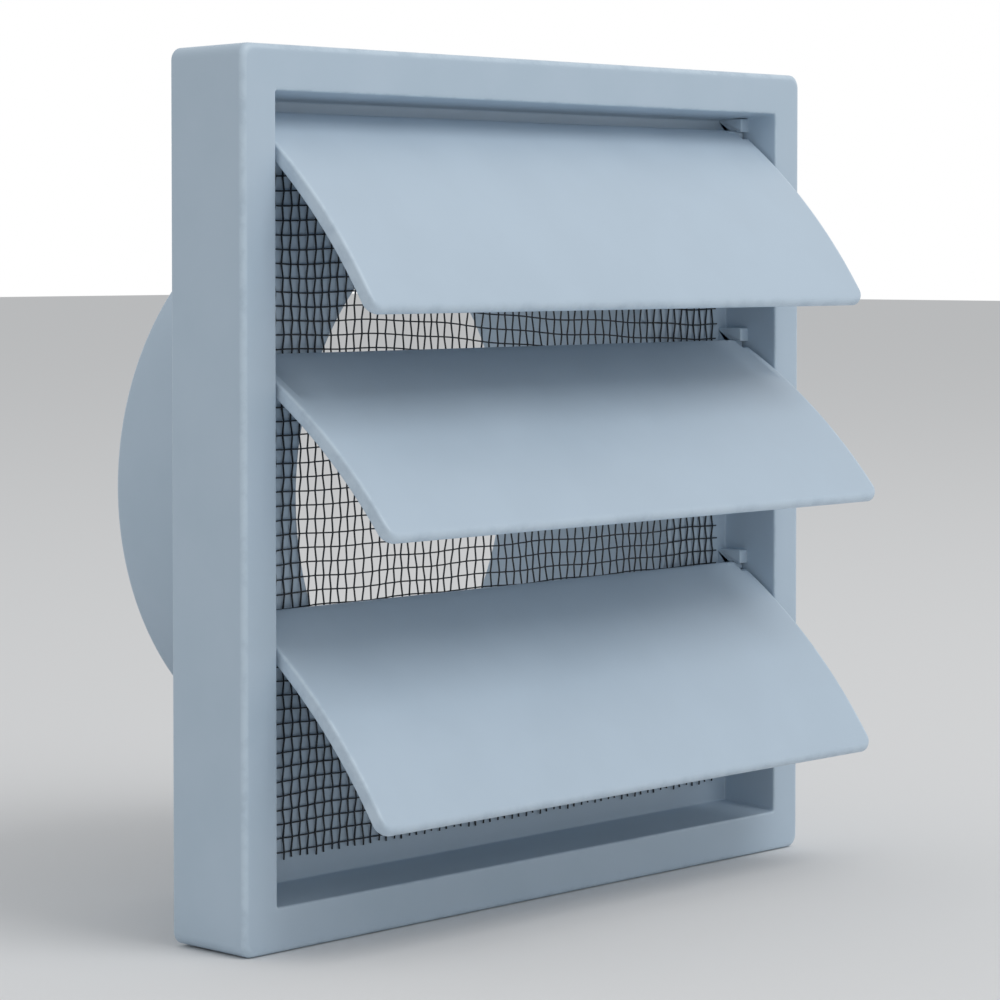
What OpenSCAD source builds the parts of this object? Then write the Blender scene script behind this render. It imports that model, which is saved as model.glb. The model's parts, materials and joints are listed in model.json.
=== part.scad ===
// Square wall vent cover with three hanging flaps, an insect screen and a round duct spigot.
// +Z is up, +Y goes into the wall, and the room or yard is on the -Y side.
// The origin lies on the spigot's axis, in the plane of the wall.

/* [Frame] */
// Outer width and height of the square frame
frame_size = 140; // [130:1:200]
// From the wall to the front face
frame_depth = 16.3; // [15:0.1:24]
// Width of the flat border around the opening
border_w = 7.1; // [6.5:0.1:12]
// Thickness of the flat border
border_t = 2; // [1.2:0.1:3]
// Thickness of the outer skirt
skirt_t = 1.8; // [1.2:0.1:2.4]
// How much each side of the skirt draws in towards the wall
skirt_draft = 0.3; // [0:0.05:0.6]
// Radius of the frame's four corners, seen from the front
corner_r = 2; // [1.5:0.1:6]
// Rounding along the front's outer edge
edge_r = 1; // [0.4:0.1:1.6]

/* [Tray] */
// From the front face back to the plate that carries the screen
tray_depth = 11.1; // [11:0.1:14]
// Thickness of the plate
plate_t = 2; // [1.2:0.1:3]
// Thickness of the tray's four walls
tray_wall_t = 1.8; // [1.2:0.1:2.4]
// How much the left and right walls close in towards the plate
side_draft = 0.3; // [0:0.05:0.8]
// How much the floor and the ceiling close in towards the plate
sill_draft = 1.1; // [0:0.05:1.6]

/* [Spigot] */
// Outer diameter of the spigot that enters the duct
spigot_d = 98; // [80:0.5:104]
// Wall thickness of the spigot
spigot_wall = 1.6; // [1:0.1:3]
// How far the spigot stands out behind the wall face
spigot_len = 35.7; // [15:0.1:60]
// Bevel at the end of the spigot
spigot_bevel = 0.7; // [0.2:0.1:0.9]
// Rounding of the bore's front edge
mouth_r = 0.6; // [0.3:0.1:1]
// How far the spigot's axis lies below the middle of the frame
spigot_drop = 1; // [0:0.1:3]

/* [Flaps] */
// From the opening's upper edge down to the top flap's pivot
top_pin_drop = 3.8; // [3.6:0.1:6]
// From the top flap's pivot down to the middle one's
upper_pitch = 37.7; // [37:0.1:41]
// From the middle flap's pivot down to the bottom one's
lower_pitch = 40.2; // [38:0.1:42]
// From root to lip, straight across, of the top and the middle flap
flap_reach = 39.5; // [36:0.1:41]
// From root to lip of the bottom flap, which comes down to the sill
bottom_flap_reach = 41.4; // [37:0.1:42]
// Thickness of a flap
flap_t = 2.3; // [1.8:0.1:2.6]
// Radius of a flap's curved section
flap_curve_r = 98; // [80:1:200]
// Rounding of a flap's two lower corners
flap_corner_r = 2; // [1.5:0.1:5]
// Gap between a flap's end and the tray wall at its narrowest
flap_side_gap = 0.4; // [0.3:0.05:1]
// How far the top flap stands open, in degrees from plumb
top_flap_angle = 43; // [20:0.1:80]
// How far the middle flap stands open
middle_flap_angle = 49.8; // [15:0.1:60]
// How far the bottom flap stands open
bottom_flap_angle = 44.5; // [10:0.1:60]

/* [Pivots] */
// Diameter of the pins at a flap's upper corners
pin_d = 1.6; // [1.4:0.1:1.8]
// Running clearance all round a pin
pin_gap = 0.05; // [0.02:0.01:0.08]
// From the plate out to the pins' axis
pin_standoff = 3.4; // [3.3:0.1:4]
// How far the pins' axis lies in front of the middle of a flap's root
pin_offset = 0.45; // [0.2:0.05:0.6]
// Thickness of a clip, measured from the tray wall
clip_t = 2; // [1.5:0.1:3]
// How far a clip reaches past the pins' axis
clip_reach = 1.6; // [1.4:0.1:2]
// Thickness of a clip's upper arm
clip_upper = 2.4; // [1.2:0.1:2.6]
// Thickness of a clip's lower arm
clip_lower = 0.8; // [0.6:0.1:0.9]
// Height of the slot that a pin snaps in through
slot_h = 1.2; // [1:0.05:1.3]
// Clear space between a flap and a clip
clip_gap = 0.24; // [0.15:0.01:0.4]
// Bare length of pin beside a clip
pin_bare = 2.3; // [1:0.1:5]

/* [Screen] */
// From the tray's side walls to the edge of the insect screen
screen_side_gap = 3.4; // [1:0.1:6]
// From the tray's floor and ceiling to the edge of the screen
screen_end_gap = 4; // [1:0.1:6]
// Thickness of a wire
wire_d = 0.3; // [0.2:0.05:0.4]
// Spacing of the upright wires
wire_pitch_x = 1.82; // [1.8:0.01:3]
// Spacing of the level wires
wire_pitch_z = 2.28; // [2:0.01:3]

/* [Hidden] */
$fn = 96;

// a little extra, so that cuts pass right through and joints bite
over = 1;
bite = 0.5;

half = frame_size / 2;
mid_z = spigot_drop;
front_y = -frame_depth;
plate_y = front_y + tray_depth;
plate_back_y = plate_y + plate_t;
open_half = half - border_w;
side_half = open_half - side_draft;
sill_half = open_half - sill_draft;

spigot_r = spigot_d / 2;
bore_r = spigot_r - spigot_wall;

pin_r = pin_d / 2;
pin_y = plate_y - pin_standoff;
flap_half = side_half - flap_side_gap;
pin_half = side_half - flap_side_gap / 2;
clip_in = side_half - clip_t;
pin_root = clip_in - pin_bare;
clip_front = pin_y - clip_reach;
clip_corner = norm([clip_reach, slot_h / 2 + clip_lower]);
notch_half = clip_in - clip_gap;
notch_drop = clip_corner + clip_gap;
top_pin_z = mid_z + open_half - top_pin_drop;
middle_pin_z = top_pin_z - upper_pitch;
bottom_pin_z = middle_pin_z - lower_pitch;

screen_w = 2 * (side_half - screen_side_gap);
screen_h = 2 * (sill_half - screen_end_gap);
screen_wall = wire_d / 3;
screen_y = plate_y - wire_d;
wires_x = floor(screen_w / wire_pitch_x / 2);
wires_z = floor(screen_h / wire_pitch_z / 2);
// an open cell in every fifth column and row, twelve by ten at most
cells_per_gap_count = 5;
gap_pitch_x = cells_per_gap_count * wire_pitch_x;
gap_pitch_z = cells_per_gap_count * wire_pitch_z;
gap_cols = min(12, floor(screen_w / gap_pitch_x));
gap_rows = min(10, floor(screen_h / gap_pitch_z));

// a flat shape in X and Z, made solid from y_front to y_back
module plate_xz(y_front, y_back) {
    translate([0, y_back, 0]) rotate([90, 0, 0]) linear_extrude(y_back - y_front) children();
}

// a flat shape in Y and Z, made solid from x_left to x_right
module bar_x(x_left, x_right) {
    translate([x_left, 0, 0]) rotate([90, 0, 90]) linear_extrude(x_right - x_left) children();
}

// a flat shape in X and Y, made solid from the frame's middle both ways
module bar_z(length) {
    translate([0, 0, mid_z - length / 2]) linear_extrude(length) children();
}

module rounded_square(size, r) {
    difference() {
        square(size, center = true);
        for (a = [0:90:270])
            rotate(a)
                translate([size / 2 - r, size / 2 - r])
                    difference() {
                        square(r + over);
                        circle(r);
                    }
    }
}

// a tapered section: half width a at y0, b at y1, with u across and v along
module taper(a, b, v0, v1) {
    polygon([[-a, v0], [a, v0], [b, v1], [-b, v1]]);
}

// a block with four leaning sides, half sizes at the front and at the back
module tapered_block(x_front, x_back, z_front, z_back, y_front, y_back) {
    intersection() {
        bar_z(2 * z_front + 2 * over) taper(x_front, x_back, y_front, y_back);
        translate([0, 0, mid_z])
            bar_x(-x_front - over, x_front + over)
                polygon([[y_front, -z_front], [y_front, z_front], [y_back, z_back], [y_back, -z_back]]);
    }
}

// the skirt's section in plan, square at the front edge's rounding and drawn in behind it
module skirt_section() {
    round_y = front_y + edge_r;
    difference() {
        polygon([
            [-half, front_y], [half, front_y], [half, round_y],
            [half - skirt_draft, 0], [-half + skirt_draft, 0], [-half, round_y]
        ]);
        for (s = [-1, 1])
            translate([s * (half - edge_r), round_y])
                difference() {
                    translate([s > 0 ? 0 : -edge_r - over, -edge_r - over]) square(edge_r + over);
                    circle(edge_r);
                }
    }
}

module outer_block() {
    intersection() {
        bar_z(frame_size + 2 * over) skirt_section();
        translate([0, 0, mid_z]) rotate([0, 90, 0])
            linear_extrude(frame_size + 2 * over, center = true) skirt_section();
        translate([0, 0, mid_z]) plate_xz(front_y - over, over) rounded_square(frame_size, corner_r);
    }
}

// everything behind the border and inside the skirt
module rear_hollow() {
    inner = half - skirt_t;
    inner_back = inner - skirt_draft;
    intersection() {
        tapered_block(inner, inner_back, inner, inner_back, front_y + border_t, over);
        translate([0, 0, mid_z])
            plate_xz(front_y, over) rounded_square(2 * inner, max(corner_r - skirt_t, 0.5));
    }
}

module tray_block() {
    t = tray_wall_t;
    tapered_block(open_half + t, side_half + t, open_half + t, sill_half + t, front_y + border_t / 2, plate_back_y);
}

module tray_space() {
    lean = over / tray_depth;
    tapered_block(
        open_half + side_draft * lean, side_half, open_half + sill_draft * lean, sill_half,
        front_y - over, plate_y
    );
}

// turned about the duct's axis: u is the radius and v runs into the wall
module turned() {
    rotate([-90, 0, 0]) rotate_extrude($fn = 180) children();
}

module spigot_outside() {
    turned()
        polygon([
            [bore_r - bite, plate_back_y - bite], [spigot_r, plate_back_y - bite],
            [spigot_r, spigot_len - spigot_bevel], [spigot_r - spigot_bevel, spigot_len],
            [bore_r - bite, spigot_len]
        ]);
}

module bore_space() {
    turned() {
        translate([0, plate_y - over]) square([bore_r, spigot_len - plate_y + 2 * over]);
        difference() {
            translate([bore_r - bite, plate_y - over]) square([mouth_r + bite, mouth_r + over]);
            translate([bore_r + mouth_r, plate_y + mouth_r]) circle(mouth_r);
        }
    }
}

// one clip: two arms with a round seat between them and a slot open to the front
module clip(pin_z) {
    slot_top = slot_h / 2;
    difference() {
        translate([clip_front, -slot_top - clip_lower])
            square([plate_y + bite - clip_front, slot_h + clip_lower + clip_upper]);
        translate([pin_y, 0]) circle(pin_r + pin_gap, $fn = 48);
        translate([clip_front - over, -slot_top]) square([clip_reach + over, slot_h]);
    }
}

module clips() {
    for (z = [top_pin_z, middle_pin_z, bottom_pin_z])
        for (s = [-1, 1])
            translate([s > 0 ? clip_in : -side_half - bite, 0, z])
                bar_x(0, clip_t + bite) clip();
}

module housing() {
    color([0.66, 0.74, 0.81])
        union() {
            difference() {
                union() {
                    difference() {
                        outer_block();
                        rear_hollow();
                    }
                    tray_block();
                    spigot_outside();
                }
                tray_space();
                bore_space();
            }
            clips();
        }
}

// a blade's curved section, hanging plumb from its root at the origin
module blade_section(reach) {
    sweep = asin(reach / 2 / flap_curve_r);
    centre = [flap_curve_r * cos(sweep), -reach / 2];
    far = 2 * flap_curve_r;
    intersection() {
        translate(centre)
            difference() {
                circle(flap_curve_r + flap_t / 2, $fn = 360);
                circle(flap_curve_r - flap_t / 2, $fn = 360);
            }
        translate(centre)
            polygon([[0, 0], far * [-cos(sweep), sin(sweep)], far * [-1, 0], far * [-cos(sweep), -sin(sweep)]]);
    }
    for (v = [0, -reach])
        translate([0, v]) circle(flap_t / 2, $fn = 48);
}

// a blade seen from the front, with rounded lower corners and notches beside the clips
module blade_outline(reach) {
    low = -reach - flap_t / 2;
    difference() {
        translate([-flap_half, low - over]) square([2 * flap_half, flap_t - low + over]);
        for (s = [-1, 1]) {
            translate([s > 0 ? notch_half : -notch_half - flap_t - over, -notch_drop])
                square([flap_t + over, notch_drop + flap_t + over]);
            translate([s * (flap_half - flap_corner_r), low + flap_corner_r])
                difference() {
                    translate([s > 0 ? 0 : -flap_corner_r - over, -flap_corner_r - 2 * over])
                        square([flap_corner_r + over, flap_corner_r + 2 * over]);
                    circle(flap_corner_r, $fn = 64);
                }
        }
    }
}

// a flap turned open about its pins, which lie a little in front of the root's middle
module flap(pin_z, angle, reach) {
    deep = reach + flap_t;
    translate([0, pin_y, pin_z])
        rotate([-angle, 0, 0]) {
            translate([0, pin_offset, 0])
                intersection() {
                    bar_x(-flap_half - over, flap_half + over) blade_section(reach);
                    plate_xz(-deep, deep) blade_outline(reach);
                }
            for (s = [-1, 1])
                translate([s > 0 ? pin_root : -pin_half, 0, 0])
                    rotate([0, 90, 0]) cylinder(h = pin_half - pin_root, r = pin_r, $fn = 48);
        }
}

module flap_top() {
    color([0.70, 0.77, 0.84]) flap(top_pin_z, top_flap_angle, flap_reach);
}

module flap_middle() {
    color([0.70, 0.77, 0.84]) flap(middle_pin_z, middle_flap_angle, flap_reach);
}

module flap_bottom() {
    color([0.70, 0.77, 0.84]) flap(bottom_pin_z, bottom_flap_angle, bottom_flap_reach);
}

// a wall with one ridge for each wire: u across, v from the wall's middle to the wires' crests
module ridges(count, pitch, width, crest) {
    translate([-width / 2, 0]) square([width, screen_wall / 2]);
    for (i = [-count:count])
        translate([i * pitch - wire_d / 2, 0]) square([wire_d, crest]);
}

// the cells that are open right through, every few wires
module open_cells() {
    cell = [wire_pitch_x - wire_d, wire_pitch_z - wire_d];
    step = [gap_pitch_x, gap_pitch_z];
    first = [-(gap_cols - 1) / 2 * step.x, -(gap_rows - 1) / 2 * step.y];
    for (i = [0:gap_cols - 1])
        for (j = [0:gap_rows - 1])
            translate(first + [i * step.x, j * step.y])
                translate([wire_pitch_x / 2, wire_pitch_z / 2] - cell / 2) square(cell);
}

// upright wires stand out to the front and level wires lie on the plate
module insect_mesh() {
    color([0.06, 0.08, 0.10])
        translate([0, screen_y, mid_z])
            difference() {
                union() {
                    mirror([0, 1, 0])
                        translate([0, 0, -screen_h / 2])
                            linear_extrude(screen_h) ridges(wires_x, wire_pitch_x, screen_w, wire_d);
                    translate([-screen_w / 2, 0, 0])
                        rotate([90, 0, 90])
                            linear_extrude(screen_w)
                                rotate(90) mirror([0, 1]) ridges(wires_z, wire_pitch_z, screen_h, wire_d);
                }
                plate_xz(-over, over) open_cells();
            }
}

housing();
insect_mesh();
flap_top();
flap_middle();
flap_bottom();
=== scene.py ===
# %% [markdown]
# # A wall vent cover, dressed in Blender
#
# The object is a square moulded cover for a ventilation duct: a flat border, a shallow tray with a
# round spigot behind it, a fine insect screen over the bore, and three curved flaps that hang on pins.
# The CAD model has all of its solids already, in metres, and it is loaded here as a fixed frame. This
# lesson gives each solid the surface that the eye expects: soft moulded edges, a screen that is really
# woven, satin plastic, and studio light.

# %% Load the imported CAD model
import json
import math

import bpy
import numpy as np
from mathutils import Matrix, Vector


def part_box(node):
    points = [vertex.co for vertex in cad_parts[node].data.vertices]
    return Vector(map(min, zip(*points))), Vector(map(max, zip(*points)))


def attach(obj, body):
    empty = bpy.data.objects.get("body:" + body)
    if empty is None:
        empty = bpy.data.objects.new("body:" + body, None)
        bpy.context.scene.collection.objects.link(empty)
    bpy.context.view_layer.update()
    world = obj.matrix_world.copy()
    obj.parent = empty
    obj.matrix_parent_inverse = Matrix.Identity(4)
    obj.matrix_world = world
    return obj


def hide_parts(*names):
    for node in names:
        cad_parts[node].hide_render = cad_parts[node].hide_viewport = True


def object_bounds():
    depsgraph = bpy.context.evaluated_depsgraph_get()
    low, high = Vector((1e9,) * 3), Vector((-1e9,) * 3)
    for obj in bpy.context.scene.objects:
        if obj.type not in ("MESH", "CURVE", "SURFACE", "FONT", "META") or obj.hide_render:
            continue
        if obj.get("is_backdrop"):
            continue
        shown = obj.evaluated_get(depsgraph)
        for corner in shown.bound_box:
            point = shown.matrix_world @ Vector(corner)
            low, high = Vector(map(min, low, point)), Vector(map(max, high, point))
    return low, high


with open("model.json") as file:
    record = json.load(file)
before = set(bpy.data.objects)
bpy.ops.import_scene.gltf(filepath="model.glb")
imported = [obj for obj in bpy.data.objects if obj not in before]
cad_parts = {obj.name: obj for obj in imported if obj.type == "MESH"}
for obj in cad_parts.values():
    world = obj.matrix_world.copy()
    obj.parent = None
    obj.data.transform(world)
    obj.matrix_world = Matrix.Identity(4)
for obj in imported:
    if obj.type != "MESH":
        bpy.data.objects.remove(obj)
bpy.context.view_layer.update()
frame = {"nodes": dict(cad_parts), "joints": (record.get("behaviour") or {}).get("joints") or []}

print("CAD nodes:", ", ".join(sorted(frame["nodes"])))

# %% [markdown]
# ## Sizes
#
# A moulded part is easiest to think of in millimetres, so every size below is in millimetres and the
# last step of each piece turns it into metres. X runs along the flaps, Y goes into the wall and Z is up.
# Where the CAD model already knows a size, such as the place of a hinge pin, it is read from there.
# The others repeat the CAD model's named sizes.

# %% Named sizes of the housing
MM = 0.001

FRAME_HALF = 70.0        # half of the square frame
FRAME_MIDDLE_Z = 1.0     # the frame's middle lies this far above the duct's axis
FRONT_Y = -16.3          # the border's front face; the wall is at Y = 0
BORDER_T = 2.0
CORNER_R = 2.0           # the frame's four corners, seen from the front
FRONT_EDGE_R = 1.0       # rounding of the front's outer edge
SKIRT_T = 1.8
SKIRT_DRAFT = 0.3
OPENING_HALF = 62.9      # the tray at its mouth
SIDE_HALF = 62.6         # the tray's side walls at the plate
SILL_HALF = 61.8         # its floor and ceiling at the plate
TRAY_WALL = 1.8
PLATE_Y = -5.2
PLATE_BACK_Y = -3.2
SPIGOT_R = 49.0
BORE_R = 47.4
SPIGOT_END_Y = 35.7

# %% Named sizes of the flaps and their pins
PINS = {joint["child"].replace("_body", ""): 1000 * np.array(joint["pos_m"]) for joint in frame["joints"]}
PIN_Y = PINS["top_flap"][1]
PIN_R = 0.8
PIN_HALF = 62.4          # how far the pins reach to each side
FLAP_HALF = 62.2
FLAP_T = 2.3
CURVE_R = 98.0           # radius of a flap's curved section
ROOT_BACK = 0.45         # the root's middle lies this far behind the pins' axis
NOTCH_HALF = 60.36       # a flap is cut back beside the clips outside this
NOTCH_DROP = 2.37
LOWER_CORNER_R = 2.0
CLIP_IN = 60.6
REACH = {"top_flap": 39.5, "middle_flap": 39.5, "bottom_flap": 41.4}
OPEN_DEG = {"top_flap": 43.0, "middle_flap": 49.8, "bottom_flap": 44.5}
print("pins at Z =", {name: round(float(p[2]), 2) for name, p in PINS.items()})

# %% [markdown]
# ## From arrays to a mesh
#
# Every piece below is a grid of points: one direction runs along a profile, the other carries the
# profile along. Two helpers turn such grids into a mesh. The first lists the quads between
# neighbouring points, the second joins several grids into one object and rides it on its CAD body.
# Each point also keeps a number that says how much it lies on an exposed edge, and the material uses
# that number later to paint a paler highlight along the edges.

# %% Helpers that build a mesh from grids
def quads(rows, columns, close_rows=False):
    """The quads of a grid whose columns run round a closed loop: each joins a point, its neighbour in
    the same row, and the same two points of the next row."""
    r, c = np.meshgrid(np.arange(rows if close_rows else rows - 1), np.arange(columns), indexing="ij")
    below, beside = (r + 1) % rows, (c + 1) % columns
    corners = [r * columns + c, r * columns + beside, below * columns + beside, below * columns + c]
    return np.stack(corners, -1).reshape(-1, 4)


class Piece:
    """Collects grids of points in millimetres and makes one mesh object of them."""

    def __init__(self, name):
        self.name, self.points, self.faces, self.wear, self.count = name, [], [], [], 0

    def carry(self, grid, wear=0.0, close_rows=False):
        """Adds a skin: a grid of rows x columns x 3, each row a closed loop. Its first and last row are
        joined, or else closed with a cap each. The signed volume of the pyramids from the origin to
        every face tells whether the skin is inside out, and then its faces are turned round."""
        rows, columns = grid.shape[:2]
        points = grid.reshape(-1, 3)
        faces = quads(rows, columns, close_rows)
        ring = np.arange(columns)
        caps = [] if close_rows else [ring[::-1], ring + (rows - 1) * columns]
        a, b, c, d = (points[faces[:, k]] for k in range(4))
        volume = np.sum(a * (np.cross(b, c) + np.cross(c, d)))
        for cap in caps:
            fan = points[cap]
            volume += np.sum(fan[0] * np.cross(fan[1:-1], fan[2:]))
        if volume < 0:
            faces, caps = faces[:, ::-1], [cap[::-1] for cap in caps]
        self.faces += (faces + self.count).tolist() + [(cap + self.count).tolist() for cap in caps]
        self.points.append(points)
        self.wear.append(np.broadcast_to(wear, (rows, columns)).ravel())
        self.count += len(points)
        return self

    def build(self, body, slot, replaced, sharp_deg=35):
        mesh = bpy.data.meshes.new(self.name)
        mesh.from_pydata(np.concatenate(self.points) * MM, [], self.faces)
        # each point's weight for the painted edge highlight, kept for the material
        worn = mesh.attributes.new("wear", "FLOAT", "POINT")
        worn.data.foreach_set("value", np.concatenate(self.wear).astype(np.float32))
        mesh.shade_smooth()
        mesh.set_sharp_from_angle(angle=math.radians(sharp_deg))
        obj = bpy.data.objects.new(self.name, mesh)
        bpy.context.scene.collection.objects.link(obj)
        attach(obj, body)
        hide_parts(replaced)
        mesh.calc_loop_triangles()
        print(f"{self.name}: {len(mesh.vertices)} points, {len(mesh.loop_triangles)} triangles")
        return obj


# %% [markdown]
# ## The housing: one closed skin
#
# A moulding of even thickness is one skin that turns back on itself. Follow a cut through its side:
# from the bore out over the plate, forward along the tray's wall, out across the border, round the
# front edge, back along the skirt to the wall, and then the same way home behind. So the whole housing
# is one closed profile, and each point of that profile becomes a closed loop about the middle: a
# rounded rectangle on the frame, a circle on the spigot. This gives true roundings along every edge,
# which a bevel on the CAD model's triangles would only reach with trouble.

# %% A loop that is a rounded rectangle or a circle
ARC_STEPS, RUN_STEPS = 8, 40
LOOP = 4 * (ARC_STEPS + RUN_STEPS)


def loops(half_x, half_z, corner_r, y, middle_z, is_circle):
    """One loop for each station. On a rectangle, each quarter is an arc of the corner's radius about
    the corner's centre, and then an even run along the next side. On a circle the same number of
    points stand at even angles, with the quarters' arcs at the same four corners."""
    quarter = np.repeat(np.arange(4), ARC_STEPS + RUN_STEPS)
    step = np.tile(np.arange(ARC_STEPS + RUN_STEPS), 4)
    turn = np.pi / 2 * (quarter + np.minimum(step, ARC_STEPS) / ARC_STEPS)
    run = (np.maximum(step - ARC_STEPS, 0) / RUN_STEPS)[:, None]
    sign = np.array([[1, 1], [-1, 1], [-1, -1], [1, -1]], float)
    toward = sign[quarter] * (1 - run) + sign[(quarter + 1) % 4] * run
    inner = np.stack([half_x - corner_r, half_z - corner_r], -1)[:, None, :]
    square = inner * toward + corner_r[:, None, None] * np.stack([np.cos(turn), np.sin(turn)], -1)
    angle = np.pi / 4 + 2 * np.pi * (np.arange(LOOP) - ARC_STEPS / 2) / LOOP
    circle = half_x[:, None, None] * np.stack([np.cos(angle), np.sin(angle)], -1)
    flat = np.where(is_circle[:, None, None], circle, square)
    depth = np.broadcast_to(y[:, None], flat.shape[:2])
    return np.stack([flat[..., 0], depth, flat[..., 1] + middle_z[:, None]], -1)


# %% Rounding the corners of a profile
def rounded(corners, radii, plane=(0, 1), steps=5, guard=0.5):
    """Rounds each corner of a closed profile, in the plane of two of its columns. A corner becomes an
    exact arc, written as a rational quadratic curve from one tangent point to the other, which carries
    all the other columns along. A guard point on each side keeps the flats beyond it flat. Returns the
    points, how much each lies on an outer edge, and the corner that each belongs to."""
    flat = corners[:, plane]
    after = np.roll(flat, -1, 0)
    area = np.sum(flat[:, 0] * after[:, 1] - flat[:, 1] * after[:, 0])
    s = np.linspace(0, 1, steps + 1)[:, None]
    points, edge, owner = [], [], []
    for i, (here, radius) in enumerate(zip(corners, radii)):
        if radius == 0:
            points.append(here[None])
            edge.append([0.0])
            owner.append([i])
            continue
        spans = [corners[i - 1] - here, corners[(i + 1) % len(corners)] - here]
        lengths = [np.hypot(*span[list(plane)]) for span in spans]
        ways = [span / length for span, length in zip(spans, lengths)]
        back, on = (way[list(plane)] for way in ways)
        half = math.acos(np.clip(back @ on, -1, 1)) / 2
        reach, weight = radius / math.tan(half), math.sin(half)
        share = np.hstack([(1 - s) ** 2, 2 * weight * s * (1 - s), s ** 2])
        control = np.stack([here + reach * ways[0], here, here + reach * ways[1]])
        arc = share @ control / share.sum(1, keepdims=True)
        beyond = [here + min(reach + guard, 0.45 * length) * way for way, length in zip(ways, lengths)]
        is_outer = (back[1] * on[0] - back[0] * on[1]) * area > 0
        points.append(np.vstack([beyond[0], arc, beyond[1]]))
        edge.append(is_outer * np.sqrt(np.concatenate([[0], np.sin(np.pi * s[:, 0]).clip(0), [0]])))
        owner.append(np.full(steps + 3, i))
    return np.concatenate(points), np.concatenate(edge), np.concatenate(owner)


# %% The housing's profile, from the bore to the wall and back
INNER = FRAME_HALF - SKIRT_T
BEHIND_Y = FRONT_Y + BORDER_T
TRAY_SIDE, TRAY_SILL = SIDE_HALF + TRAY_WALL, SILL_HALF + TRAY_WALL
MID = FRAME_MIDDLE_Z
profile = np.array([
    # half width, half height, corner radius, Y, middle Z, circle, rounding
    [BORE_R, BORE_R, 0, PLATE_Y, 0, 1, 0.6],
    [SIDE_HALF, SILL_HALF, 0.4, PLATE_Y, MID, 0, 0.35],
    [OPENING_HALF, OPENING_HALF, 0.5, FRONT_Y, MID, 0, 0.4],
    [FRAME_HALF, FRAME_HALF, CORNER_R, FRONT_Y, MID, 0, FRONT_EDGE_R],
    [FRAME_HALF - SKIRT_DRAFT, FRAME_HALF - SKIRT_DRAFT, CORNER_R, 0, MID, 0, 0.35],
    [INNER - SKIRT_DRAFT, INNER - SKIRT_DRAFT, 0.5, 0, MID, 0, 0.3],
    [INNER, INNER, 0.5, BEHIND_Y, MID, 0, 0.35],
    [OPENING_HALF + TRAY_WALL, OPENING_HALF + TRAY_WALL, 1.2, BEHIND_Y, MID, 0, 0.35],
    [TRAY_SIDE, TRAY_SILL, 1.2, PLATE_BACK_Y, MID, 0, 0.35],
    [SPIGOT_R, SPIGOT_R, 0, PLATE_BACK_Y, 0, 1, 0.5],
    [SPIGOT_R, SPIGOT_R, 0, SPIGOT_END_Y, 0, 1, 0.6],
    [BORE_R, BORE_R, 0, SPIGOT_END_Y, 0, 1, 0.3],
])
stations, edge, owner = rounded(profile[:, :5], profile[:, 6], plane=(0, 3))
skin = loops(*stations.T, profile[owner, 5] > 0)
print("housing profile:", len(stations), "stations of", LOOP, "points")
print("outer edges at corners", sorted(set(owner[edge > 0.5])))

# %% [markdown]
# ## The clips
#
# Each flap hangs in two snap clips at the tray's side walls. A clip is a block with a round seat for
# the pin and a narrower slot to the front, through which the pin snaps in. It is one section, drawn in
# Y and Z about the pin's axis, carried along X, and shrunk a little over its last steps so that its
# free end has a rounded rim. It bites into the wall and the plate, as it is one moulding with them.

# %% One clip's section and its grid
CLIP_REACH, ARM_ABOVE, ARM_BELOW, SLOT_HALF, SEAT_R = 1.6, 2.4, 0.8, 0.6, 0.85
BITE = 0.5


def clip_section():
    """The outline of a clip in Y and Z about the pin: a rectangle with a slot from the front, which
    opens into an arc of the seat's radius."""
    root = PLATE_Y + BITE - PIN_Y
    mouth = math.asin(SLOT_HALF / SEAT_R)
    turn = np.linspace(np.pi - mouth, mouth - np.pi, 22)
    seat = SEAT_R * np.stack([np.cos(turn), np.sin(turn)], -1)
    above = [[root, SLOT_HALF + ARM_ABOVE], [-CLIP_REACH, SLOT_HALF + ARM_ABOVE], [-CLIP_REACH, SLOT_HALF]]
    below = [[-CLIP_REACH, -SLOT_HALF], [-CLIP_REACH, -SLOT_HALF - ARM_BELOW], [root, -SLOT_HALF - ARM_BELOW]]
    corners = np.vstack([above, seat, below])
    radii = np.r_[0.2, 0.35, 0.15, np.zeros(len(seat)), 0.15, 0.25, 0.2]
    return rounded(corners, radii, steps=3, guard=0.2)


def clip_grid(side, pin_z):
    """The section at a row of places along X. Over the rounding of the free end each point moves in
    along its own normal by the rounding's radius times one minus the cosine of the turn."""
    points, edge, _ = clip_section()
    along = np.roll(points, -1, 0) - np.roll(points, 1, 0)
    normal = np.stack([along[:, 1], -along[:, 0]], -1)
    normal /= np.linalg.norm(normal, axis=1, keepdims=True)
    turn = np.linspace(np.pi / 2, 0, 5)
    end_r = 0.22
    x = np.r_[CLIP_IN + end_r * (1 - np.sin(turn)), CLIP_IN + 0.8, SIDE_HALF + BITE]
    inward = np.r_[end_r * (1 - np.cos(turn)), 0, 0][:, None, None]
    flat = points - inward * normal
    across = np.broadcast_to(side * x[:, None], flat.shape[:2])
    grid = np.stack([across, PIN_Y + flat[..., 0], pin_z + flat[..., 1]], -1)
    # The weight of the painted edge highlight: most on the rounded free end, some on the outer edges.
    wear = np.r_[np.ones(5), 0, 0][:, None] * 0.8 + 0.5 * edge
    return grid, wear.clip(0, 1)


# %% Build the housing
housing = Piece("housing_shell").carry(skin, edge[:, None], close_rows=True)
for pin in PINS.values():
    for side in (-1, 1):
        housing.carry(*clip_grid(side, pin[2]))
housing_obj = housing.build("frame_body", "housing_plastic", "housing")

# %% [markdown]
# ## The flaps
#
# A flap is a thin blade whose section is part of a large circle, with a full round bead at its root
# and its lip. The lower corners are rounded, the upper ones are cut back to clear the clips, and two
# short pins stand out at the root. The blade is one grid again: the section's closed outline is
# carried along X. Towards each end the section gets thinner, which rounds the end's rim, and its lip
# draws up, which rounds the corner. Where the notch starts, the points round the root fall on the
# straight cut instead.

# %% The section of a blade at places along X
END_R = 0.45


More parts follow.
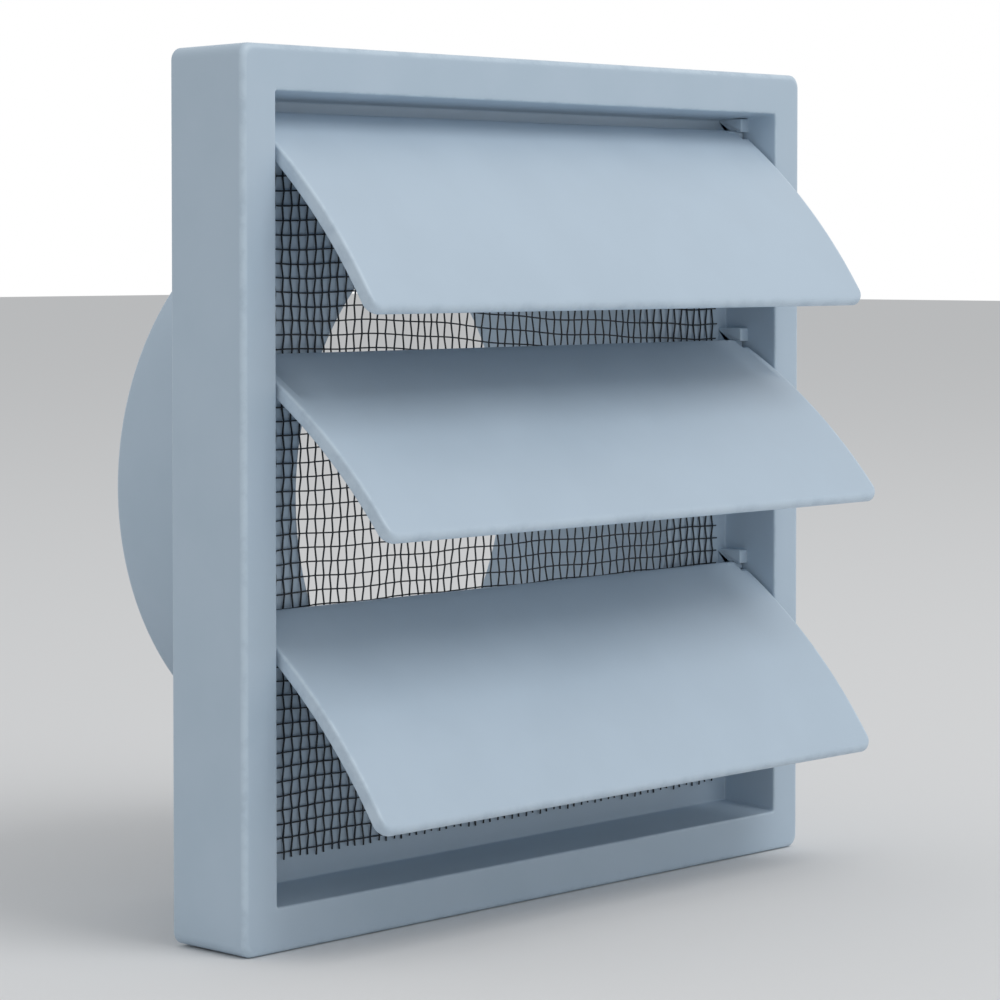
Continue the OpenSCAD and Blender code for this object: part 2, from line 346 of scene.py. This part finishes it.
def thickness_and_lift(x):
    """Half the blade's thickness, and how far its lip draws up, at a distance x from its middle: each
    is a quarter circle towards the end."""
    past_end = np.clip(np.abs(x) - (FLAP_HALF - END_R), 0, END_R)
    past_corner = np.clip(np.abs(x) - (FLAP_HALF - LOWER_CORNER_R), 0, LOWER_CORNER_R)
    half_t = FLAP_T / 2 - END_R + np.sqrt(END_R ** 2 - past_end ** 2)
    return half_t, LOWER_CORNER_R - np.sqrt(LOWER_CORNER_R ** 2 - past_corner ** 2)


def blade_grid(reach, pin_z, open_deg):
    """Rows along X, columns round the section. A point of the blade stands at an angle on the circle
    of the curve's radius, and half a thickness in front of it or behind it; the beads are half circles
    about the two ends. The plumb blade is then turned open about the pins' axis."""
    corner = FLAP_HALF - LOWER_CORNER_R * (1 - np.sin(np.linspace(0, np.pi / 2, 9)))
    rim = FLAP_HALF - END_R * (1 - np.sin(np.linspace(0, np.pi / 2, 6)))
    outer = np.unique(np.round(np.r_[NOTCH_HALF, corner[corner > NOTCH_HALF], rim, rim[0] - 0.4], 6))
    middle = np.linspace(-NOTCH_HALF, NOTCH_HALF, 25)
    x = np.r_[-outer[::-1], middle, outer]
    notched = np.r_[np.ones(len(outer)), np.zeros(len(middle)), np.ones(len(outer))].astype(bool)
    half_t, lift = (value[:, None] for value in thickness_and_lift(x))

    root, notch = math.asin(reach / 2 / CURVE_R), math.asin((reach / 2 - NOTCH_DROP) / CURVE_R)
    lip = np.arcsin((lift - reach / 2) / CURVE_R)

    def on_blade(angle, off):
        """The point in Y and Z at an angle on the curve, off in front of the blade's middle."""
        radius = CURVE_R + off
        y = CURVE_R * math.cos(root) - radius * np.cos(angle)
        return np.stack(np.broadcast_arrays(y, radius * np.sin(angle) - reach / 2), -1)

    def bead(angle, turn, way):
        """A half circle about the end at an angle, from the front face to the back face."""
        forward, along = half_t * np.cos(turn), way * half_t * np.sin(turn)
        y = -forward * np.cos(angle) + along * np.sin(angle)
        z = forward * np.sin(angle) + along * np.cos(angle)
        return on_blade(angle, 0 * forward) + np.stack(np.broadcast_arrays(y, z), -1)

    turn = np.linspace(0, np.pi, 13)[None]
    upper = np.linspace(notch, root, 3)[None]
    front, back = on_blade(upper, half_t), on_blade(upper, -half_t)[:, ::-1]
    around_root = np.concatenate([front[:, :-1], bead(root, turn, 1), back[:, 1:]], 1)
    share = np.linspace(0, 1, around_root.shape[1])[None, :, None]
    cut = around_root[:, :1] * (1 - share) + around_root[:, -1:] * share
    around_root = np.where(notched[:, None, None], cut, around_root)

    down = np.r_[np.linspace(0, 1, 15)[:-1] * 0.98, 0.985][None, 1:]
    face = notch + (lip - notch) * down
    outline = np.concatenate([
        around_root, on_blade(face, -half_t), bead(lip, np.pi - turn, -1), on_blade(face, half_t)[:, ::-1],
    ], 1)
    y, z = outline[..., 0] + ROOT_BACK, outline[..., 1]
    c, s = math.cos(math.radians(open_deg)), math.sin(math.radians(open_deg))
    grid = np.stack([np.broadcast_to(x[:, None], y.shape), PIN_Y + y * c + z * s, pin_z - y * s + z * c], -1)

    # The weight of the painted edge highlight: the lip's bead and the rounded ends of the blade.
    on_bead = np.zeros(outline.shape[1])
    first = around_root.shape[1] + down.shape[1]
    on_bead[first:first + 13] = np.sin(turn[0])
    at_end = np.clip((np.abs(x) - (FLAP_HALF - END_R - 0.3)) / 0.3, 0, 1)
    return grid, np.maximum(on_bead[None], at_end[:, None])


# %% The pins, and the three flaps
def pin_grid(side, pin_z):
    """A cylinder along X with a small bevel at its free end."""
    x = side * np.array([58.3, PIN_HALF - 0.25, PIN_HALF])[:, None]
    radius = np.array([PIN_R, PIN_R, PIN_R - 0.2])[:, None]
    turn = np.linspace(0, 2 * np.pi, 24, endpoint=False)[None]
    return np.stack(np.broadcast_arrays(x, PIN_Y + radius * np.cos(turn), pin_z + radius * np.sin(turn)), -1)


flap_objs = []
for name, reach in REACH.items():
    pin_z = PINS[name][2]
    flap = Piece(name.replace("_flap", "_blade")).carry(*blade_grid(reach, pin_z, OPEN_DEG[name]))
    for side in (-1, 1):
        flap.carry(pin_grid(side, pin_z))
    node = "flap_" + name.replace("_flap", "")
    flap_objs.append(flap.build(name + "_body", "flap_plastic", node))
    low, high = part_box(node)
    mine = np.concatenate(flap.points)
    apart = np.r_[mine.min(0) * MM - np.array(low), mine.max(0) * MM - np.array(high)]
    print(node, "differs from its CAD box by mm", np.round(apart / MM, 2))

# %% [markdown]
# ## The insect screen
#
# The real screen is woven: each upright wire goes in front of one level wire and behind the next, and
# its neighbour does the opposite. The CAD model has plain ridges instead. Here every wire is a thin
# tube with six sides, which goes in and out by one wire's radius between crossings. A piece of screen
# that was cut and pressed down by hand is never quite square, so one smooth field shifts both sets of
# wires together: the weave drifts down towards the right in its upper half, and it is a little
# rumpled in places.

# %% The wires' paths and their tubes
PITCH_X, PITCH_Z = 1.82, 2.28
UPRIGHT_R, LEVEL_R = 0.15, 0.12
SCREEN_Y = PLATE_Y - 0.3
UPRIGHTS, LEVELS = 32, 25        # wires on each side of the middle one
SCREEN_HALF_X, SCREEN_HALF_Z = 59.2, 57.8
rng = np.random.default_rng(7)


def shifted(x, z):
    """Where the weave's own point (x, z) lies: a slow slope of the level wires in the upper half, and
    a few sine waves that fade out towards the screen's border."""
    across = np.clip((x + 45) / 100, 0, 1)
    slope = -5.0 * across * across * (3 - 2 * across) * np.exp(-((z - 24) / 17) ** 2)
    near_x = np.clip((1.02 - (x / SCREEN_HALF_X) ** 2) * 4, 0.25, 1)
    near_z = np.clip((1.02 - (z / SCREEN_HALF_Z) ** 2) * 4, 0.1, 1)
    border = near_x * near_z
    ripple_x = 0.28 * np.sin(x / 4.1 + z / 6.5) * np.sin(z / 7.0 + 1.1)
    ripple_x = ripple_x + 0.22 * np.sin(x / 2.3 - z / 3.9 + 2.0) * np.sin(x / 17)
    ripple_z = 0.22 * np.sin(x / 8.5 + 0.7) * np.cos(z / 11.0) + 0.12 * np.sin(x / 3.1 + z / 5.0)
    return x + border * ripple_x, z + slope + border * ripple_z


def rumple(x, z):
    """How far the screen stands off the plate, which is only where the bore lets it."""
    free = np.clip(1 - (x * x + z * z) / 44.0 ** 2, 0, 1)
    return free * (0.25 * np.sin(x / 5.0 + z / 9.0) + 0.2 * np.sin(x / 11.0 - z / 6.0))


def tubes(x, y, z, radius, sides=6):
    """Tubes round lines given as arrays of wires x rings. A ring lies across its wire: it is a circle
    in X and Y for an upright wire and in Z and Y for a level one."""
    turn = 2 * np.pi * np.arange(sides) / sides
    is_upright = abs(z[0, -1] - z[0, 0]) > abs(x[0, -1] - x[0, 0])
    side, out = radius * np.cos(turn), y[..., None] + radius * np.sin(turn)
    if is_upright:
        return np.stack(np.broadcast_arrays(x[..., None] + side, out, z[..., None]), -1)
    return np.stack(np.broadcast_arrays(x[..., None], out, z[..., None] + side), -1)


# %% Weave the screen
weave = Piece("screen_weave")
wire_x = PITCH_X * np.arange(-UPRIGHTS, UPRIGHTS + 1)[:, None]
wire_z = PITCH_Z * np.arange(-LEVELS, LEVELS + 1)[:, None]
parity_x = (-1.0) ** np.arange(len(wire_x))[:, None]
parity_z = (-1.0) ** np.arange(len(wire_z))[:, None]

ring_z = np.r_[-SCREEN_HALF_Z, PITCH_Z / 2 * np.arange(-2 * LEVELS, 2 * LEVELS + 1), SCREEN_HALF_Z][None]
ring_x = np.r_[-SCREEN_HALF_X, PITCH_X / 2 * np.arange(-2 * UPRIGHTS, 2 * UPRIGHTS + 1), SCREEN_HALF_X][None]
ends_z = np.zeros((len(wire_x), ring_z.shape[1]))
ends_z[:, [0, -1]] = rng.uniform(0, 0.5, (len(wire_x), 2)) * [-1, 1]
ends_x = np.zeros((len(wire_z), ring_x.shape[1]))
ends_x[:, [0, -1]] = rng.uniform(0, 0.5, (len(wire_z), 2)) * [-1, 1]

x, z = shifted(wire_x + 0 * ring_z, ring_z + ends_z)
y = SCREEN_Y + UPRIGHT_R * parity_x * np.cos(np.pi * ring_z / PITCH_Z) + rumple(x, z)
uprights = tubes(x, y, MID + z, UPRIGHT_R)
x, z = shifted(ring_x + ends_x, wire_z + 0 * ring_x)
y = SCREEN_Y - LEVEL_R * parity_z * np.cos(np.pi * ring_x / PITCH_X) + rumple(x, z)
levels = tubes(x, y, MID + z, LEVEL_R)
for wire in (*uprights, *levels):
    weave.carry(wire)
weave_obj = weave.build("frame_body", "screen_wire", "insect_mesh")

# %% [markdown]
# ## Materials
#
# Shader maths reads best as Python. The small class below wraps one output socket, so that an
# expression such as 1 - mask adds its Math node by itself. Any other node comes from one method that
# takes the node's type, its settings and the values or links of its sockets.

# %% A socket that can be calculated with
class Link:
    """An output socket of a material's nodes. Numbers and other links combine with it."""

    def __init__(self, graph, socket):
        self.graph, self.socket = graph, socket

    def maths(self, operation, *inputs):
        return self.graph.node("ShaderNodeMath", {"operation": operation}, dict(enumerate(inputs)))

    def __add__(self, other):
        return self.maths("ADD", self, other)

    def __sub__(self, other):
        return self.maths("SUBTRACT", self, other)

    def __rsub__(self, other):
        return self.maths("SUBTRACT", other, self)

    def __mul__(self, other):
        return self.maths("MULTIPLY", self, other)

    __radd__, __rmul__ = __add__, __mul__

    def smooth(self, low, high):
        """0 below low, 1 above high and a smooth step between them."""
        inputs = {"Value": self, "From Min": low, "From Max": high}
        return self.graph.node("ShaderNodeMapRange", {"interpolation_type": "SMOOTHSTEP"}, inputs)


class Graph:
    """The nodes of one material, starting from a plain Principled shader."""

    def __init__(self, name, **constants):
        self.material = bpy.data.materials.new(name)
        self.material.use_nodes = True
        self.tree = self.material.node_tree
        self.shader = self.tree.nodes["Principled BSDF"]
        for socket, value in constants.items():
            self.shader.inputs[socket.replace("_", " ")].default_value = value

    def node(self, kind, settings=None, inputs=None, output=0):
        node = self.tree.nodes.new(kind)
        for setting, value in (settings or {}).items():
            setattr(node, setting, value)
        for socket, value in (inputs or {}).items():
            self.feed(node.inputs[socket], value)
        return Link(self, node.outputs[output])

    def feed(self, socket, value):
        if isinstance(value, Link):
            self.tree.links.new(value.socket, socket)
        else:
            socket.default_value = value

    def mix(self, factor, a, b):
        """A colour between a and b."""
        inputs = {"Factor": factor, 6: a, 7: b}
        return self.node("ShaderNodeMix", {"data_type": "RGBA"}, inputs, output=2)

    def noise(self, feature_mm, detail=2.0, roughness=0.5):
        """Smooth noise from 0 to 1 on Object coordinates, with features of about that size."""
        place = self.node("ShaderNodeTexCoord", output="Object")
        inputs = {"Vector": place, "Scale": 1 / (feature_mm * MM), "Detail": detail, "Roughness": roughness}
        return self.node("ShaderNodeTexNoise", inputs=inputs, output="Fac")

    def worn(self):
        """How exposed the edge is here, as the mesh keeps it: the weight of the painted edge highlight."""
        return self.node("ShaderNodeAttribute", {"attribute_name": "wear"}, output="Fac")

    def finish(self, colour, roughness, normal, *objects):
        self.feed(self.shader.inputs["Base Color"], colour)
        self.feed(self.shader.inputs["Roughness"], roughness)
        self.feed(self.shader.inputs["Normal"], normal)
        for obj in objects:
            obj.data.materials.clear()
            obj.data.materials.append(self.material)
        print(f"{self.material.name}: {len(self.tree.nodes)} nodes on {len(objects)} piece(s)")


# %% [markdown]
# ## Satin moulded plastic
#
# The cover is moulded in one pale blue-grey. The mould's fine spark-eroded grain scatters the light
# softly, slow flow in the plastic leaves a hardly visible mottling, and the exposed edges are a little
# smoother, with a paler painted highlight along them. All of that is small, so each effect is only a
# few percent.

# %% The two plastics
def rgb(r, g, b):
    """A colour as it is seen on a screen, 0 to 255, turned into the linear values that nodes use."""
    c = np.array([r, g, b]) / 255
    linear = np.where(c <= 0.04045, c / 12.92, ((c + 0.055) / 1.055) ** 2.4)
    return (*linear.tolist(), 1.0)


def satin_plastic(name, pale, deep, highlight_tone, *objects):
    """Pale and deep are the two ends of the mottling; the last colour is a paler painted highlight along the
    exposed edges.
    """
    graph = Graph(name, IOR=1.46)
    mottle = graph.noise(14, detail=3).smooth(0.3, 0.7)
    grain = graph.noise(0.35, detail=2)
    scuff = graph.noise(3.5, detail=4, roughness=0.65)
    # Painted highlight: the exposed edges are painted paler in a scuffed pattern, and made a little less
    # rough.
    edge = graph.worn() * scuff.smooth(0.3, 0.6)
    colour = graph.mix(edge * 0.55, graph.mix(mottle, deep, pale), highlight_tone)
    roughness = 0.40 + 0.08 * mottle + 0.06 * grain - 0.08 * edge
    height = grain * 0.012 + scuff * 0.01
    normal = graph.node("ShaderNodeBump", inputs={"Strength": 0.35, "Distance": MM, "Height": height})
    graph.finish(colour, roughness, normal, *objects)
    return graph.material


satin_plastic("housing_plastic", rgb(182, 199, 214), rgb(178, 196, 211), rgb(202, 219, 232), housing_obj)
satin_plastic("flap_plastic", rgb(184, 201, 216), rgb(181, 198, 213), rgb(204, 220, 233), *flap_objs)

# %% [markdown]
# ## Coated wire
#
# The screen's wire has a thin black coat, a little uneven and duller on its crests. From the front it
# reads as thin black lines, so its colour stays near black and only its gloss varies.

# %% The wire's finish
graph = Graph("screen_wire", IOR=1.5)
patch = graph.noise(2.0, detail=3).smooth(0.35, 0.65)
coat = graph.noise(0.12, detail=1)
colour = graph.mix(patch, rgb(14, 20, 27), rgb(30, 38, 47))
normal = graph.node("ShaderNodeBump", inputs={"Strength": 0.3, "Distance": MM, "Height": coat * 0.01})
graph.finish(colour, 0.42 + 0.2 * patch, normal, weave_obj)

# %% [markdown]
# ## The camera
#
# A camera was fitted to the corners of the frame in the photograph. It looks from the left front,
# about 48 degrees off the cover's axis and 2 degrees down, through a long lens, and the picture's
# window is shifted a little, as in a photograph that was cropped.

# %% Place the camera
AZIMUTH, ELEVATION, DISTANCE = math.radians(-48.266), math.radians(1.982), 604.02
target = np.array([6.792, 0.0, 18.416])
back_way = np.array([
    math.sin(AZIMUTH) * math.cos(ELEVATION),
    -math.cos(AZIMUTH) * math.cos(ELEVATION),
    math.sin(ELEVATION),
])
camera = bpy.data.objects.new("camera", bpy.data.cameras.new("camera"))
bpy.context.scene.collection.objects.link(camera)
camera.location = (target + DISTANCE * back_way) * MM
camera.rotation_euler = (math.pi / 2 - ELEVATION, 0, AZIMUTH)
camera.data.sensor_width = 36
camera.data.lens = 3.53029 * 36
camera.data.shift_y = -0.12694
camera.data.clip_start, camera.data.clip_end = 0.05, 20
bpy.context.scene.camera = camera
print("camera at", [round(v, 4) for v in camera.location])

# %% [markdown]
# ## Floor, backdrop and light
#
# The cover stands on a plain pale floor before a white surround, with one large soft lamp above and in
# front. The camera sees the surround as plain white, while the object is lit by a calmer one. The
# floor keeps Blender's plain default finish, so it is a pale grey that shows the object's shadow.

# %% The white surround
def light_path(tree):
    """1 for what the camera sees directly, in a mirror or through glass, and 0 for light that falls
    on something."""
    path = tree.nodes.new("ShaderNodeLightPath")
    total = path.outputs["Is Camera Ray"]
    for other in ("Is Glossy Ray", "Is Transmission Ray"):
        most = tree.nodes.new("ShaderNodeMath")
        most.operation = "MAXIMUM"
        tree.links.new(total, most.inputs[0])
        tree.links.new(path.outputs[other], most.inputs[1])
        total = most.outputs[0]
    return total


world = bpy.data.worlds.new("studio")
world.use_nodes = True
bpy.context.scene.world = world
tree = world.node_tree
backdrop = tree.nodes["Background"]
surround = tree.nodes.new("ShaderNodeBackground")
surround.inputs["Color"].default_value = (0.97, 0.985, 1.0, 1)
surround.inputs["Strength"].default_value = 0.62
backdrop.inputs["Color"].default_value = (1, 1, 1, 1)
backdrop.inputs["Strength"].default_value = 1.0
choose = tree.nodes.new("ShaderNodeMixShader")
tree.links.new(light_path(tree), choose.inputs["Fac"])
tree.links.new(surround.outputs[0], choose.inputs[1])
tree.links.new(backdrop.outputs[0], choose.inputs[2])
tree.links.new(choose.outputs[0], tree.nodes["World Output"].inputs["Surface"])

# %% The floor
FLOOR_Z = FRAME_MIDDLE_Z - FRAME_HALF
floor_mesh = bpy.data.meshes.new("floor")
FLOOR_HALF, FLOOR_GAP = 6.0, 0.00005    # metres; the gap keeps the floor clear of the housing
floor_height = FLOOR_Z * MM - FLOOR_GAP
corners = [(x * FLOOR_HALF, y * FLOOR_HALF, floor_height) for x, y in ((-1, -1), (1, -1), (1, 1), (-1, 1))]
floor_mesh.from_pydata(corners, [], [(0, 1, 2, 3)])
floor = bpy.data.objects.new("floor", floor_mesh)
bpy.context.scene.collection.objects.link(floor)
floor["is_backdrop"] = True

# %% The lamps
def soft_lamp(name, place, aim, size, watts, colour=(1, 1, 1)):
    """A square area lamp at a place, turned to an aim, all in metres."""
    data = bpy.data.lights.new(name, "AREA")
    data.shape, data.size, data.energy, data.color = "SQUARE", size, watts, colour
    lamp = bpy.data.objects.new(name, data)
    bpy.context.scene.collection.objects.link(lamp)
    lamp.location = place
    lamp.rotation_euler = (Vector(aim) - Vector(place)).to_track_quat("-Z", "Y").to_euler()
    return lamp


soft_lamp("overhead_front", (0.25, -1.1, 1.3), (0, 0, 0), 0.9, 9)

# %% [markdown]
# ## The dressed model's box
#
# The looks never change the object's size, so the dressed model's box is printed at the end.

# %% Print the dressed model's box and finish
bpy.context.scene.view_settings.view_transform = "Standard"
low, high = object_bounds()
print("visual box in mm:", [round(1000 * x, 1) for x in (*low, *high)])
